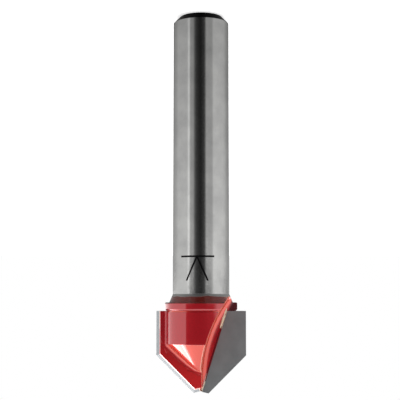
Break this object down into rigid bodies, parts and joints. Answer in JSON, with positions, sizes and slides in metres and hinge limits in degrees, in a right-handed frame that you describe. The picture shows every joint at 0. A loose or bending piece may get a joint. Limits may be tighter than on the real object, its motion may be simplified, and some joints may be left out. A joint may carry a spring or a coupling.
{
  "type": "v groove router bit",
  "caption": "V groove router bit: a round shank with a collar and a red cutter body that carries brazed carbide tips meeting in a point.",
  "frame": {"origin": "centre of the flat end of the shank, which the bit stands on", "axes": "+Z runs along the axis from the shank's flat end to the cutting point; X lies along the two cutting edges, and Y across the front faces of the tips"},
  "size_m": [0.0126, 0.0102, 0.0538],
  "materials": {
    "steel": "ground bare shank and red lacquered cutter body",
    "carbide": "fine ground grey carbide",
    "braze": "pale silver braze"
  },
  "bodies": {
    "root": {"body": "steel", "tip_a": "carbide", "tip_b": "carbide", "braze_a": "braze", "braze_b": "braze"}
  },
  "joints": []
}
